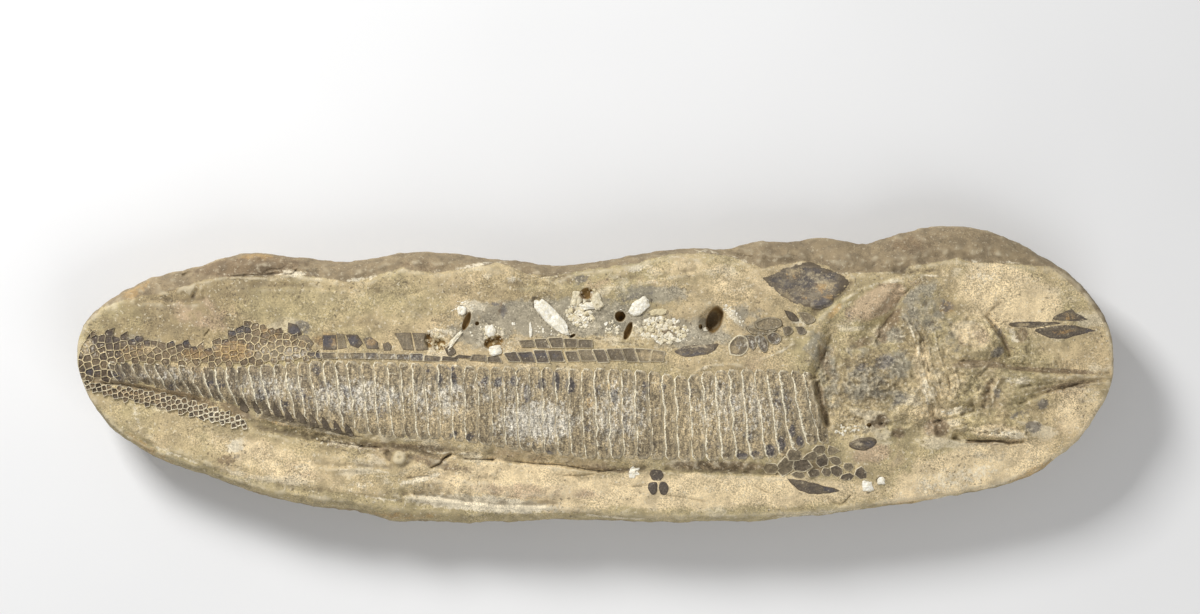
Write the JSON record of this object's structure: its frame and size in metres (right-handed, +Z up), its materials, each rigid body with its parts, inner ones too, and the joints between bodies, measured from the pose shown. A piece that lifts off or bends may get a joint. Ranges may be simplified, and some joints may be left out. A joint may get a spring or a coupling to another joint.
{
  "type": "fossil fish slab",
  "caption": "Split half of a long limestone nodule with a long-snouted, armour-scaled fossil fish in relief on its upper face.",
  "frame": {"origin": "centre of the bounding box in X and Y, on the surface that the slab rests on", "axes": "+Z up out of the split face with the fish, +X towards the fish's snout along the slab, +Y towards the fish's back"},
  "size_m": [0.66, 0.19, 0.0599],
  "materials": {
    "limestone": "matte",
    "fish_scale": "satin",
    "fish_bone": "satin",
    "dark_bone": "satin",
    "calcite": "satin"
  },
  "bodies": {
    "root": {"fossil_slab": "limestone"}
  },
  "joints": []
}
